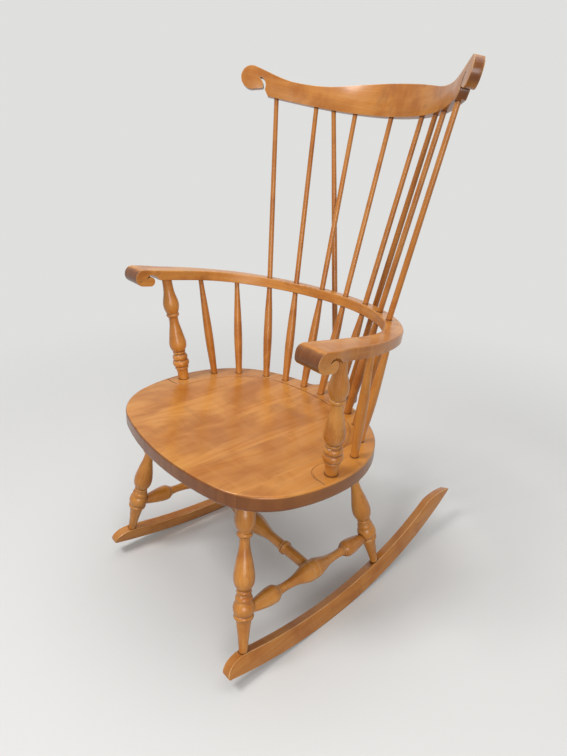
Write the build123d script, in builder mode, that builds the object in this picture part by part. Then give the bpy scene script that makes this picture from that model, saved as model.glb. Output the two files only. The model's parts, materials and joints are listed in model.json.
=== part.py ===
from build123d import *

import os
from math import atan2, cos, degrees, radians, sin, sqrt

# A comb-back Windsor arm chair on rockers, in maple.
# Frame: millimetres, +Z up, +Y towards the back, +X towards the sitter's left. The origin is
# on the floor, midway between the tips of the rockers. Angles are in degrees.

# ---------------------------------------------------------------- joints between the pieces
glue_gap = 0.1  # round tenons are this much smaller in radius than their sockets
end_relief = 1.0  # free depth past the end of a blind tenon

# ---------------------------------------------------------------- seat
seat_height = 408.0  # top of the seat at its middle
seat_y = -143.0
seat_tilt = 1.7  # the seat falls towards the back
seat_thickness = 34.0
seat_half_width = 280.0
seat_back_depth = 236.0
seat_front_depth = 220.0
seat_side_flat = 4.5  # half of the straight bit at the side
seat_back_corner = 205.0
seat_back_turns = (24.8, 59.8)
seat_front_corner = 148.0
seat_front_turns = (14.7, 71.6)
seat_top_rounding = 5.0
seat_under_rounding = 7.0
deck_margin = 24.0  # from the edge of the seat to the line of the spindles

dish_depth = 10.0
dish_radius = 250.0
dish_y = -12.0  # middle of the hollow, from the seat's middle

gutter_radius = 2.2  # round groove between the dish and the deck
gutter_sink = 1.5
gutter_back_inset = 22.0  # from the middle spindle
gutter_corner = 158.0
gutter_turns = (16.7, 69.1)
post_clearance = 35.0  # the gutter goes round each arm post at this distance

tail_half_width = 43.0  # tongue behind the seat, for the two brace spindles
tail_reach = 69.0
tail_rounding = 18.0
brace_inset = 22.0  # from the end of the tail to the braces
brace_half_gap = 23.0

# ---------------------------------------------------------------- rockers
rocker_radius = 1146.0  # of the tread, seen from the side
rocker_y = -86.0  # lowest point of the tread
rocker_half_track = 243.0  # outer bottom corner at that point
rocker_thickness = 20.0
rocker_depth = 40.0
rocker_cant = 14.3  # the boards lean in at the top
rocker_toe = 3.3  # and run closer together at the back
rocker_front = 291.5  # from the lowest point to the front tip
rocker_rear = 466.0
rocker_nose = 52.0  # length of the rounded front end
rocker_nose_rounding = 4.0  # where the nose meets the tread
rocker_taper = 100.0
rocker_tip_fall = 0.3  # slope of the top edge at the rear tip

# ---------------------------------------------------------------- legs
front_leg_on_rocker = -243.5  # along the rocker from its lowest point
rear_leg_on_rocker = 152.5
front_leg_side_inset = 117.0  # under the seat, from the side of its outline
front_leg_inset = 92.0  # from its front
rear_leg_side_inset = 118.0
rear_leg_inset = 103.0  # from its back
leg_seat_tenon = 12.7  # radius; the leg enters the seat without a shoulder
leg_seat_depth = 20.0
leg_foot_radius = 8.7
leg_foot_tenon = 6.0
leg_foot_depth = 24.0
leg_foot_cope = 4.0  # the foot reaches this far below the rocker's edge, and is cut to it

# ---------------------------------------------------------------- stretchers
stretcher_on_leg = 81.5  # from the foot of the leg to the side stretcher, along the leg
stretcher_shoulder = 14.0  # from the leg's axis
stretcher_end_radius = 8.6
stretcher_tenon = 7.0
stretcher_tenon_length = 16.0
medial_shoulder = 17.0  # from the side stretcher's axis
medial_end_radius = 11.4
medial_tenon = 7.0
medial_tenon_length = 14.0

# ---------------------------------------------------------------- arm bow
bow_height = 665.6  # top of the bow, level with bow_y
bow_y = -103.0
bow_tilt = 9.3
bow_thickness = 22.0
bow_rounding = 2.2
bow_spindle_inner = 12.5  # from the spindles to the inner edge, at the back
bow_spindle_outer = 17.0
bow_short_inner = 13.5  # from the front short spindle to the inner edge
bow_post_outer = 24.0
bow_inner_corner = 286.0
bow_inner_turns = (31.6, 52.8)
bow_outer_corner = 159.0
bow_outer_turns = (52.1, 64.1)
bow_outer_flat_y = -60.0  # the outer edge swells out again in front of this
post_on_bow_x = 279.6
post_on_bow_y = -63.0
front_short_on_bow_x = 270.7
front_short_on_bow_y = 22.5
rear_short_on_bow_x = 241.0
rear_short_on_bow_y = 109.0
hand_x = 284.5  # middle of the hand
hand_front_y = -143.0
hand_half_width = 26.8
hand_length = 34.0  # straight part of the hand
hand_inner_corner = 7.0
hand_outer_corner = 4.0

# ---------------------------------------------------------------- knuckles
knuckle_height = 35.5  # the nose is a half round of this height
roll_radius = 10.3
roll_setback = 35.5  # from the nose to the middle of the roll
cove_gap = 4.2  # between the top of the roll and the arm
cove_mouth_gap = 3.15  # further round the roll, where the cove narrows
cove_mouth_angle = 68.0  # up from the front of the roll
curl_angle = 55.0  # where the roll turns under the arm, up from its front
cove_length = 22.5  # from the middle of the roll to the end of the cove
nose_waste = 3.0  # sawn off when the nose is rounded
brad_radius = 0.9
brad_length = 28.0
# Each brad's place across the hand from its middle, and its angle up from the nose's front.
brad_places = ((0.3, 57.4), (-14.5, 30.7))

# ---------------------------------------------------------------- crest rail
crest_y = 230.8  # middle of the lower edge
crest_z = 992.6
crest_lean = 15.3
crest_thickness = 17.0
crest_height = 64.0
crest_middle_radius = 275.0
crest_middle_angle = 34.0
crest_side_radius = 419.0
crest_side_angle = 10.3
crest_hollow_height = 39.5
crest_crown_share = 0.586  # of the upper edge that is crown, before the hollow begins
crest_end = 120.0  # straight end, from the bends to the tip of the ear
crest_corner = 66.0  # from the tip of the ear to the corner of the lower edge
ear_radius = 23.7
ear_height = 30.6  # middle of the ear's round end
ear_throat_angle = 245.0  # the round end runs from here, under the slit,
ear_back_angle = 460.0  # round the tip to here, on top

# The slit that makes a scroll of the ear, and the ear's edges beside it: each point is a
# distance back from the tip of the ear and a height over the lower edge.
slit_notch = (-56.5, 12.0)  # outer end of the slit
slit_back = ((-57.0, 20.0), (-53.5, 29.0), (-47.0, 34.0))
slit_tip = (-40.0, 33.2)
slit_front = ((-45.0, 30.6), (-50.0, 24.5), (-52.0, 18.0))
slit_mouth = (-51.5, 14.2)
ear_throat = (-43.0, 11.6)
ear_neck = ((-61.0, 47.3), (-87.0, 42.4))  # upper edge, from the ear towards the hollow
ear_neck_slope = 0.17

# ---------------------------------------------------------------- spindles and arm posts
long_spindle_angles = (0.0, 12.2, 24.4, 36.6)  # round the seat, from the middle of the back
long_spindle_spacing = 91.0  # along the crest
rear_short_angle = 53.7
front_short_angle = 69.5
post_angle = 91.0
brace_on_crest = 142.0
long_spindle_foot = 7.5  # radii
long_spindle_through = 6.0  # straight stretch that passes through the bow
long_spindle_tip = 5.0
short_spindle_foot = 7.5
short_spindle_tip = 5.6
brace_foot = 5.9
brace_tip = 5.0
post_foot = 12.2
post_tip = 11.1
spindle_seat_depth = 22.0
spindle_crest_depth = 20.0
spindle_bow_depth = 14.0
post_seat_depth = 20.0
post_bow_depth = 14.0

# ---------------------------------------------------------------- turnings
# Each turning is drawn from its foot: the form of the line, then the height and the radius
# that it reaches, and for a bead the radius of its crown. The last row ends the free length,
# and the heights of all stretch with the piece.
leg_turning = (
    ("flow", 22, 10.1),
    ("flow", 44, 12.5),
    ("flow", 66, 15.5),
    ("line", 68.5, 17.2),
    ("bead", 78, 17.4, 19.8),
    ("bead", 104, 16.0, 21.2),
    ("bead", 117, 13.0, 17.0),
    ("line", 119, 12.8),
    ("bead", 127, 12.8, 14.8),
    ("line", 129, 14.0),
    ("flow", 136, 18.3),
    ("flow", 150, 20.7),
    ("flow", 166, 19.2),
    ("flow", 186, 15.5),
    ("flow", 206, 11.4),
    ("flow", 229, 10.2),
    ("line", 231, 13.2),
    ("bead", 240, 13.2, 15.6),
    ("line", 243, 13.6),
    ("flow", 252, 18.1),
    ("flow", 265, 19.9),
    ("flow", 288, 17.0),
    ("flow", 312, 12.8),
    ("line", 320, leg_seat_tenon),
)

post_turning = (
    ("line", 3, post_foot),
    ("flow", 14, 12.6),
    ("flow", 25, 13.4),
    ("bead", 33, 15.0, 16.2),
    ("bead", 50, 15.4, 19.5),
    ("bead", 64, 13.0, 17.6),
    ("line", 66, 13.0),
    ("bead", 72, 13.4, 15.0),
    ("flow", 79, 18.2),
    ("flow", 90, 20.0),
    ("flow", 104, 18.0),
    ("flow", 122, 14.6),
    ("flow", 140, 11.2),
    ("flow", 155, 10.9),
    ("line", 157, 12.8),
    ("bead", 165, 12.8, 14.8),
    ("flow", 172, 15.8),
    ("flow", 186, 18.0),
    ("flow", 198, 16.2),
    ("flow", 212, 12.8),
    ("flow", 226, 11.4),
    ("flow", 240, post_tip),
    ("line", 246, post_tip),
)

# One half of a side stretcher, from the leg's axis to the middle.
side_stretcher_turning = (
    ("flow", 28, 12.2),
    ("flow", 48, 16.0),
    ("flow", 68, 18.2),
    ("flow", 78, 17.0),
    ("flow", 84, 12.6),
    ("bead", 88, 10.2, 12.4),
    ("flow", 98, 9.2),
    ("flow", 120, 9.5),
    ("flow", 136, 11.6),
    ("flow", 154, 16.8),
    ("flow", 171, 20.6),
    ("line", 173, 19.8),
    ("line", 175, 20.8),
    ("line", 180.5, 21.0),
)

# One half of the medial stretcher, from the side stretcher's axis to the middle.
medial_turning = (
    ("flow", 50, 11.8),
    ("flow", 78, 11.8),
    ("line", 80, 13.0),
    ("bead", 85.5, 13.0, 15.4),
    ("bead", 91, 12.8, 15.4),
    ("line", 93, 11.4),
    ("flow", 118, 10.9),
    ("flow", 138, 11.4),
    ("flow", 155, 14.8),
    ("flow", 176, 20.2),
    ("flow", 205, 22.4),
)

# A long spindle below the bow, and above it.
long_lower_turning = (
    ("line", 4, long_spindle_foot),
    ("flow", 45, 9.0),
    ("flow", 92, 10.3),
    ("flow", 130, 9.8),
    ("flow", 165, 8.8),
    ("flow", 205, 6.6),
    ("flow", 218, long_spindle_through),
    ("line", 222, long_spindle_through),
)
long_upper_turning = (
    ("flow", 12, 6.0),
    ("flow", 180, 5.6),
    ("flow", 350, long_spindle_tip),
    ("line", 360, long_spindle_tip),
)

short_turning = (
    ("line", 4, short_spindle_foot),
    ("flow", 45, 9.0),
    ("flow", 90, 10.0),
    ("flow", 125, 9.4),
    ("flow", 180, 7.2),
    ("flow", 216, short_spindle_tip),
    ("line", 228, short_spindle_tip),
)

brace_turning = (
    ("line", 4, brace_foot),
    ("flow", 120, 6.3),
    ("flow", 240, 6.5),
    ("flow", 440, 5.8),
    ("flow", 600, brace_tip),
    ("line", 620, brace_tip),
)


# ================================================================ helpers
def crossing(plane, line):
    """The point where a line, given by its two ends, meets a plane."""
    start, end = line
    along = end - start
    reach = (plane.origin - start).dot(plane.z_dir) / along.dot(plane.z_dir)
    return start + along * reach


def image(point, side):
    """The point itself (side = 1), its mirror image (-1) or its foot on the middle plane (0)."""
    return Vector(point.X * side, point.Y, point.Z)


def line_on(side, line):
    """A line of the left side, or its mirror image."""
    return [image(point, side) for point in line]


def bore(bottom, mouth, radius):
    """Cut a round hole in the piece being built, from its bottom out to its mouth."""
    with Locations(Plane(origin=bottom, z_dir=mouth - bottom)):
        Cylinder(
            radius,
            (mouth - bottom).length,
            align=(Align.CENTER, Align.CENTER, Align.MIN),
            mode=Mode.SUBTRACT,
        )


def socket(mouth, out, radius, depth):
    """Cut the socket of a tenon. The mouth is on the surface, and out points out of it."""
    way = out.normalized()
    bore(mouth - way * (depth + end_relief), mouth + way * 4 * radius, radius + glue_gap)


def quarter(half_width, depth, corner, turns, side_y=0.0):
    """A quarter of an oval, in three tangent arcs from its back round to its side.

    The corner is the radius of the middle arc, and the turns are how far the line has turned
    where that arc begins and ends. The two other radii follow from the width and the depth.
    """
    first, last = (radians(turn) for turn in turns)
    across = half_width - corner * (sin(last) - sin(first))
    down = depth - corner * (cos(first) - cos(last))
    share = sin(first) * cos(last) - (1 - sin(last)) * (1 - cos(first))
    back_radius = (across * cos(last) - down * (1 - sin(last))) / share
    side_radius = (down * sin(first) - across * (1 - cos(first))) / share
    with BuildLine() as oval:
        back = JernArc((0, side_y + depth), (1, 0), back_radius, -turns[0])
        middle = JernArc(back @ 1, back % 1, corner, turns[0] - turns[1])
        JernArc(middle @ 1, middle % 1, side_radius, turns[1] - 90)
    return oval.line


def stretched(turning, length, lift=0.0):
    """The rows of a turning with their heights stretched to a length, and then lifted."""
    stretch = length / turning[-1][1]
    return [(form, height * stretch + lift, *radii) for form, height, *radii in turning]


def draw_turning(begin, rows):
    """Draw a turning, radius across and height up, from the point begin. Return its end."""
    here = begin
    flow = [here]
    for form, height, radius, *crown in rows:
        there = (radius, height)
        if form == "flow":
            flow.append(there)
        else:
            if len(flow) > 1:
                Spline(*flow)
            if form == "line":
                Line(here, there)
            else:
                ThreePointArc(here, (crown[0], (here[1] + there[1]) / 2), there)
            flow = [there]
        here = there
    if len(flow) > 1:
        Spline(*flow)
    return here


def radial_plane(foot, head):
    """The plane in which a turning is drawn: x is the radius and y runs from foot to head."""
    across = Plane(origin=foot, z_dir=head - foot)
    return Plane(origin=foot, x_dir=across.x_dir, z_dir=-across.y_dir)


def spindle(line, foot, rows, head):
    """A turned piece without shoulders. Its foot and its head are a radius and a depth."""
    low, high = line
    reach = (high - low).length
    foot_radius, foot_depth = foot
    head_radius, head_depth = head
    with BuildPart() as turned:
        with BuildSketch(radial_plane(low, high)):
            with BuildLine():
                Polyline((0, -foot_depth), (foot_radius, -foot_depth), (foot_radius, 0))
                last = draw_turning((foot_radius, 0), rows)
                Polyline(
                    last,
                    (head_radius, reach + head_depth),
                    (0, reach + head_depth),
                    (0, -foot_depth),
                )
            make_face()
        revolve(axis=Axis(low, high - low))
    return turned.part


def keep(piece, name):
    """Label a finished piece and write its STEP file."""
    piece.label = name
    export_step(piece, f"parts/{name}.step")


os.makedirs("parts", exist_ok=True)
sides = {"left": 1, "right": -1}

# ================================================================ planes and meeting points
seat_top = Plane((0, seat_y, seat_height)).rotated((-seat_tilt, 0, 0))
seat_under = seat_top.offset(-seat_thickness)
bow_top = Plane((0, bow_y, bow_height)).rotated((-bow_tilt, 0, 0))
bow_under = bow_top.offset(-bow_thickness)
crest_plan = Plane((0, crest_y, crest_z)).rotated((-crest_lean, 0, 0))

# The left rocker's outer face: x runs along it towards the back and y up it.
cant = radians(rocker_cant)
toe = radians(rocker_toe)
rocker_face = Plane(
    origin=(rocker_half_track, rocker_y, 0),
    x_dir=(-sin(toe), cos(toe), 0),
    z_dir=(cos(toe) * cos(cant), sin(toe) * cos(cant), sin(cant)),
)
face_radius = rocker_radius * cos(cant) / cos(toe) ** 2  # of the tread, seen in that face


def tread_height(along):
    """Height of the tread in the rocker's face."""
    return face_radius - sqrt(face_radius**2 - along**2)


def top_height(along):
    """Height of the rocker's top edge in its face."""
    return face_radius - sqrt((face_radius - rocker_depth) ** 2 - along**2)


def top_slope(along):
    """Direction of the rocker's top edge in its face, towards the back."""
    return (1, along / (face_radius - top_height(along)))


def on_rocker(along):
    """A point in the middle of the rocker's top edge."""
    return rocker_face.from_local_coords((along, top_height(along), -rocker_thickness / 2))


def under_seat(side_inset, back):
    """A point on the seat's underside, set in from the side of its outline."""
    return seat_under.from_local_coords((seat_half_width - side_inset, back, 0))


def on_deck(angle):
    """A point on the line of the spindles round the seat."""
    across = (seat_half_width - deck_margin) * sin(radians(angle))
    back = (seat_back_depth - deck_margin) * cos(radians(angle))
    return seat_top.from_local_coords((across, back, 0))


def on_bow(x, y):
    """A point on the top of the bow."""
    return bow_top.from_local_coords((x, y, 0))


def draw_crest(shift):
    """Draw half the crest's bend, seen along the crest, shifted out from its middle line."""
    middle = JernArc((0, shift), (1, 0), crest_middle_radius + shift, -crest_middle_angle)
    return JernArc(middle @ 1, middle % 1, crest_side_radius + shift, -crest_side_angle)


with BuildLine() as crest_middle:
    side_bend = draw_crest(0)
    straight = Line(side_bend @ 1, (side_bend @ 1) + (side_bend % 1) * crest_end)
crest_line = crest_middle.wire()
crest_seam = crest_line.length - crest_end  # where the bends end


def on_crest(along):
    """A point on the middle line of the crest's lower edge, at a distance along it."""
    place = crest_line.position_at(along, position_mode=PositionMode.LENGTH)
    return crest_plan.from_local_coords(place)


# Axes of the left side's round pieces, each from its lower to its upper end.
legs = {
    "front": (
        on_rocker(front_leg_on_rocker),
        under_seat(front_leg_side_inset, front_leg_inset - seat_front_depth),
    ),
    "rear": (
        on_rocker(rear_leg_on_rocker),
        under_seat(rear_leg_side_inset, seat_back_depth - rear_leg_inset),
    ),
}
stretcher_ends = [
    foot + (head - foot).normalized() * stretcher_on_leg for foot, head in legs.values()
]
stretcher_middle = (stretcher_ends[0] + stretcher_ends[1]) / 2
long_spindles = [
    (on_deck(angle), on_crest(place * long_spindle_spacing))
    for place, angle in enumerate(long_spindle_angles)
]
short_spindles = {
    "rear": (on_deck(rear_short_angle), on_bow(rear_short_on_bow_x, rear_short_on_bow_y)),
    "front": (on_deck(front_short_angle), on_bow(front_short_on_bow_x, front_short_on_bow_y)),
}
post = (on_deck(post_angle), on_bow(post_on_bow_x, post_on_bow_y))
brace_foot_y = seat_back_depth + tail_reach - brace_inset
brace = (
    seat_top.from_local_coords((brace_half_gap, brace_foot_y, 0)),
    on_crest(brace_on_crest),
)

# The long spindles of both sides, numbered from the sitter's right to the left.
numbered_spindles = {
    len(long_spindles) + side * place: line_on(side, line)
    for side in (-1, 1)
    for place, line in enumerate(long_spindles)
}

# ================================================================ seat
post_place = seat_top.to_local_coords(post[0])
gutter_back = seat_back_depth - deck_margin - gutter_back_inset
gutter_front = post_place.Y - post_clearance
gutter_out = seat_half_width + gutter_radius  # the gutter runs out over the edge


def draw_gutter():
    """Draw the gutter's line from the right edge of the seat round the back to the left."""
    inner = post_place.X - post_clearance
    add(quarter(inner, gutter_back - post_place.Y, gutter_corner, gutter_turns, post_place.Y))
    bend = JernArc((inner, post_place.Y), (0, -1), post_clearance, 90)
    Line(bend @ 1, (gutter_out, gutter_front))
    mirror(about=Plane.YZ)


with BuildPart() as saddle:
    # The hollow of the seat is a shallow bell that stops at the gutter.
    dish_middle = seat_top.from_local_coords((0, dish_y, 0))
    with BuildSketch(Plane(dish_middle, seat_top.x_dir, -seat_top.y_dir)):
        with BuildLine():
            bottom = (0, -dish_depth)
            rim = (dish_radius, 0)
            Spline(bottom, rim, tangents=((1, 0), (1, 0)))
            Polyline(rim, (dish_radius, seat_thickness), (0, seat_thickness), bottom)
        make_face()
    revolve(axis=Axis(dish_middle, seat_top.z_dir))
    with BuildSketch(seat_top):
        with BuildLine():
            draw_gutter()
            Polyline(
                (gutter_out, gutter_front),
                (gutter_out, -2 * seat_front_depth),
                (-gutter_out, -2 * seat_front_depth),
                (-gutter_out, gutter_front),
            )
        make_face()
    extrude(amount=2 * seat_thickness, both=True, mode=Mode.INTERSECT)

with BuildLine() as gutter:
    draw_gutter()
gutter_path = seat_top.offset(gutter_radius - gutter_sink) * gutter.wire()

with BuildPart() as seat:
    with BuildSketch(seat_top):
        with BuildLine():
            back_depth = seat_back_depth - seat_side_flat
            front_depth = seat_front_depth - seat_side_flat
            front = quarter(
                seat_half_width, front_depth, seat_front_corner, seat_front_turns, seat_side_flat
            )
            mirror(front, about=Plane.XZ)
            add(
                quarter(
                    seat_half_width, back_depth, seat_back_corner, seat_back_turns, seat_side_flat
                )
            )
            Line((seat_half_width, -seat_side_flat), (seat_half_width, seat_side_flat))
            mirror(about=Plane.YZ)
        make_face()
        with Locations((0, seat_back_depth)):
            Rectangle(2 * tail_half_width, 2 * tail_reach)
    extrude(amount=-seat_thickness)
    upright = Axis(seat_top.origin, seat_top.z_dir)
    behind = (Axis.Y, seat_y + tail_half_width, seat_y + 2 * seat_back_depth)
    tail_corners = seat.edges().filter_by(upright).filter_by_position(*behind)
    fillet(tail_corners, radius=tail_rounding)
    fillet(seat.faces().sort_by(upright)[-1].edges(), radius=seat_top_rounding)
    fillet(seat.faces().sort_by(upright)[0].edges(), radius=seat_under_rounding)
    add(saddle.part, mode=Mode.SUBTRACT)
    with BuildSketch(Plane(gutter_path ^ 0)):
        Circle(gutter_radius)
    sweep(path=gutter_path, mode=Mode.SUBTRACT)
    for foot, head in numbered_spindles.values():
        socket(foot, head - foot, long_spindle_foot, spindle_seat_depth)
    for side in sides.values():
        for line in short_spindles.values():
            foot, head = line_on(side, line)
            socket(foot, head - foot, short_spindle_foot, spindle_seat_depth)
        for line in legs.values():
            foot, head = line_on(side, line)
            socket(head, foot - head, leg_seat_tenon, leg_seat_depth)
        foot, head = line_on(side, post)
        socket(foot, head - foot, post_foot, post_seat_depth)
        foot, head = line_on(side, brace)
        socket(foot, head - foot, brace_foot, spindle_seat_depth)
keep(seat.part, "seat")

# ================================================================ rockers
nose_end = rocker_nose - rocker_front
taper_start = rocker_rear - rocker_taper

with BuildPart() as rocker_left:
    with BuildSketch(rocker_face):
        with BuildLine():
            front_tip = (-rocker_front, tread_height(rocker_front))
            nose_top = (nose_end, top_height(nose_end))
            taper_top = (taper_start, top_height(taper_start))
            rear_tip = (rocker_rear, tread_height(rocker_rear))
            Spline(front_tip, nose_top, tangents=((0, 1), top_slope(nose_end)))
            ThreePointArc(nose_top, (0, rocker_depth), taper_top)
            tip_way = (1, -rocker_tip_fall)
            Spline(taper_top, rear_tip, tangents=(top_slope(taper_start), tip_way))
            Polyline(
                rear_tip,
                (rocker_rear, 0),
                (0, -rocker_depth),
                (-rocker_front, -rocker_depth),
                front_tip,
            )
        make_face()
    extrude(amount=-rocker_thickness)
    with Locations(Plane((0, rocker_y, rocker_radius), z_dir=(1, 0, 0))):
        Cylinder(rocker_radius, 4 * rocker_half_track, mode=Mode.INTERSECT)
    tread = rocker_left.faces().sort_by(Axis.Z)[0]
    fillet(tread.edges().sort_by(Axis.Y)[0], radius=rocker_nose_rounding)
    for foot, head in legs.values():
        socket(foot, head - foot, leg_foot_tenon, leg_foot_depth)
keep(rocker_left.part, "rocker_left")

with BuildPart() as rocker_right:
    mirror(rocker_left.part, about=Plane.YZ)
keep(rocker_right.part, "rocker_right")
rockers = {"left": rocker_left.part, "right": rocker_right.part}

# ================================================================ legs
turned_legs = {}
for hand, side in sides.items():
    for place, line in legs.items():
        foot, head = line_on(side, line)
        length = (head - foot).length
        with BuildPart() as leg:
            with BuildSketch(radial_plane(foot, head)):
                with BuildLine():
                    Polyline(
                        (0, -leg_foot_depth),
                        (leg_foot_tenon, -leg_foot_depth),
                        (leg_foot_tenon, -leg_foot_cope),
                        (leg_foot_radius, -leg_foot_cope),
                        (leg_foot_radius, 0),
                    )
                    rows = stretched(leg_turning, length)
                    last = draw_turning((leg_foot_radius, 0), rows)
                    Polyline(
                        last,
                        (leg_seat_tenon, length + leg_seat_depth),
                        (0, length + leg_seat_depth),
                        (0, -leg_foot_depth),
                    )
                make_face()
            revolve(axis=Axis(foot, head - foot))
            add(rockers[hand], mode=Mode.SUBTRACT)
            here, there = line_on(side, stretcher_ends)
            if place == "rear":
                here, there = there, here
            way = (there - here).normalized()
            tenon_end = stretcher_shoulder - stretcher_tenon_length - end_relief
            bore(
                here + way * tenon_end,
                here + way * 3 * stretcher_shoulder,
                stretcher_tenon + glue_gap,
            )
        keep(leg.part, f"leg_{place}_{hand}")
        turned_legs[place, hand] = leg.part

# ================================================================ stretchers
side_stretchers = {}
for hand, side in sides.items():
    middle = image(stretcher_middle, side)
    with BuildPart() as side_stretcher:
        for end in line_on(side, stretcher_ends):
            half = (middle - end).length
            with BuildSketch(radial_plane(end, middle)):
                with BuildLine():
                    tenon_end = stretcher_shoulder - stretcher_tenon_length
                    Polyline(
                        (0, tenon_end),
                        (stretcher_tenon, tenon_end),
                        (stretcher_tenon, stretcher_shoulder),
                        (stretcher_end_radius, stretcher_shoulder),
                    )
                    rows = stretched(side_stretcher_turning, half)
                    last = draw_turning((stretcher_end_radius, stretcher_shoulder), rows)
                    Polyline(last, (0, half), (0, tenon_end))
                make_face()
            revolve(axis=Axis(end, middle - end))
        for place in legs:
            add(turned_legs[place, hand], mode=Mode.SUBTRACT)
        inward = Vector(-side, 0, 0)
        bore(
            middle + inward * (medial_shoulder - medial_tenon_length - end_relief),
            middle + inward * 3 * medial_shoulder,
            medial_tenon + glue_gap,
        )
    keep(side_stretcher.part, f"side_stretcher_{hand}")
    side_stretchers[hand] = side_stretcher.part

with BuildPart() as medial_stretcher:
    centre = image(stretcher_middle, 0)
    half = (centre - stretcher_middle).length
    with BuildSketch(radial_plane(stretcher_middle, centre)):
        with BuildLine():
            tenon_end = medial_shoulder - medial_tenon_length
            Polyline(
                (0, tenon_end),
                (medial_tenon, tenon_end),
                (medial_tenon, medial_shoulder),
                (medial_end_radius, medial_shoulder),
            )
            rows = stretched(medial_turning, half)
            last = draw_turning((medial_end_radius, medial_shoulder), rows)
            Polyline(last, (0, half), (0, tenon_end))
        make_face()
    revolve(axis=Axis(stretcher_middle, centre - stretcher_middle))
    add(side_stretchers["left"], mode=Mode.SUBTRACT)
    mirror(about=Plane.YZ)
keep(medial_stretcher.part, "medial_stretcher")

# ================================================================ arm bow
bow_back = bow_top.to_local_coords(crossing(bow_top, long_spindles[0])).Y
inner_x = front_short_on_bow_x - bow_short_inner
outer_x = post_on_bow_x + bow_post_outer
hand_outer_x = hand_x + hand_half_width
hand_start = hand_front_y + hand_length
sawn_front = hand_front_y - nose_waste
inner_depth = bow_back - bow_spindle_inner
outer_depth = bow_back + bow_spindle_outer - bow_outer_flat_y

with BuildSketch(bow_top) as bow_outline:
    with BuildLine():
        add(quarter(inner_x, inner_depth, bow_inner_corner, bow_inner_turns))
        add(quarter(outer_x, outer_depth, bow_outer_corner, bow_outer_turns, bow_outer_flat_y))
        Spline((outer_x, bow_outer_flat_y), (hand_outer_x, hand_start), tangents=((0, -1), (0, -1)))
        Polyline(
            (hand_outer_x, hand_start),
            (hand_outer_x, sawn_front),
            (inner_x, sawn_front),
            (inner_x, 0),
        )
        mirror(about=Plane.YZ)
    make_face()
    corners = bow_outline.vertices().group_by(Axis.Y)[0].sort_by(Axis.X)
    fillet([corners[0], corners[-1]], radius=hand_outer_corner)
    corners = bow_outline.vertices().group_by(Axis.Y)[0].sort_by(Axis.X)
    fillet(corners[1:-1], radius=hand_inner_corner)

# The side of the hand: x runs back from the nose and y up from the top of the arm.
hand_side = Plane(
    origin=bow_top.from_local_coords((0, hand_front_y, 0)),
    x_dir=bow_top.y_dir,
    z_dir=(1, 0, 0),
)
nose_radius = knuckle_height / 2
across_chair = 2 * (hand_x + hand_half_width)
roll_middle = (roll_setback, roll_radius - knuckle_height)
roll_half_chord = sqrt(roll_radius**2 - (bow_thickness + roll_middle[1]) ** 2)
roll_meets_arm = (roll_setback - roll_half_chord, -bow_thickness)
nose_half_chord = sqrt(nose_radius**2 - (bow_thickness - nose_radius) ** 2)
nose_meets_block = (nose_radius - nose_half_chord, -bow_thickness)


def round_roll(radius, angle):
    """A point round the middle of the roll, at an angle up from the front."""
    return (
        roll_middle[0] - radius * cos(radians(angle)),
        roll_middle[1] + radius * sin(radians(angle)),
    )


def brad_line(across, angle, side):
    """The line of a brad, from its head on the nose to its point."""
    way = (cos(radians(angle)), -sin(radians(angle)))
    head = (nose_radius * (1 - way[0]), -nose_radius * (1 + way[1]))
    point = (head[0] + brad_length * way[0], head[1] + brad_length * way[1])
    x = side * (hand_x + across)
    return [hand_side.from_local_coords((along, up, x)) for along, up in (head, point)]


brads = [brad_line(*place, side) for place in brad_places for side in sides.values()]
cove_end = (roll_setback + cove_length, -bow_thickness)

with BuildPart() as square_edges:
    # The arm's lower edges stay square where the knuckle blocks are glued on.
    extrude(bow_outline.sketch, amount=-bow_thickness)
    with BuildSketch(hand_side):
        with Locations(cove_end):
            Rectangle(
                2 * cove_end[0],
                bow_thickness / 2,
                align=(Align.MAX, Align.MIN),
            )
    extrude(amount=across_chair, both=True, mode=Mode.INTERSECT)

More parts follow.
